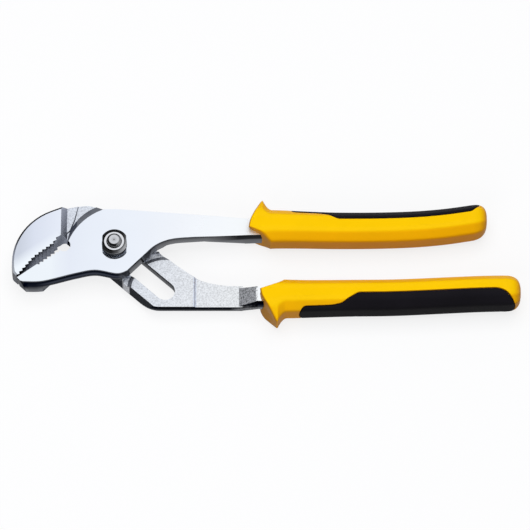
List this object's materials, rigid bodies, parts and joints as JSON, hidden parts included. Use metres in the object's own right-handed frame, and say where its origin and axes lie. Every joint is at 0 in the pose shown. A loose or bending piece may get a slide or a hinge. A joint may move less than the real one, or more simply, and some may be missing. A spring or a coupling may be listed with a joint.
{
  "type": "groove joint pliers",
  "caption": "Groove joint pliers with toothed jaws, a stepped sliding pivot bolt, a tongue in curved grooves and moulded two-colour handle grips.",
  "frame": {"origin": "on the pivot axis, at the back face of the bolt head, on which the tool lies", "axes": "+X along the tool to the handle ends, +Y to the handle of the front half, +Z out of the front face along the pivot axis to the nut"},
  "size_m": [0.2547, 0.0681, 0.0209],
  "materials": {
    "forged_steel": "polished front faces, satin neck",
    "turned_steel": "turned and plated",
    "grip_sleeve": "semi-gloss yellow",
    "grip_pad": "matte black"
  },
  "bodies": {
    "slotted_body": {"slotted_half": "forged_steel", "lower_grip_sleeve": "grip_sleeve", "lower_grip_pad": "grip_pad"},
    "pivot_body": {"pivot_bolt": "turned_steel", "pivot_washer": "turned_steel", "pivot_nut": "turned_steel"},
    "front_body": {"front_half": "forged_steel", "upper_grip_sleeve": "grip_sleeve", "upper_grip_pad": "grip_pad"}
  },
  "joints": [
    {"name": "pivot_step", "type": "slide", "parent": "slotted_body", "child": "pivot_body", "axis": [0.7431, -0.6691, 0], "range_m": [0, 0.0258]},
    {"name": "jaw_hinge", "type": "hinge", "parent": "pivot_body", "child": "front_body", "pos_m": [0, 0, 0.0121], "axis": [0, 0, 1], "range_deg": [0, 48]}
  ]
}
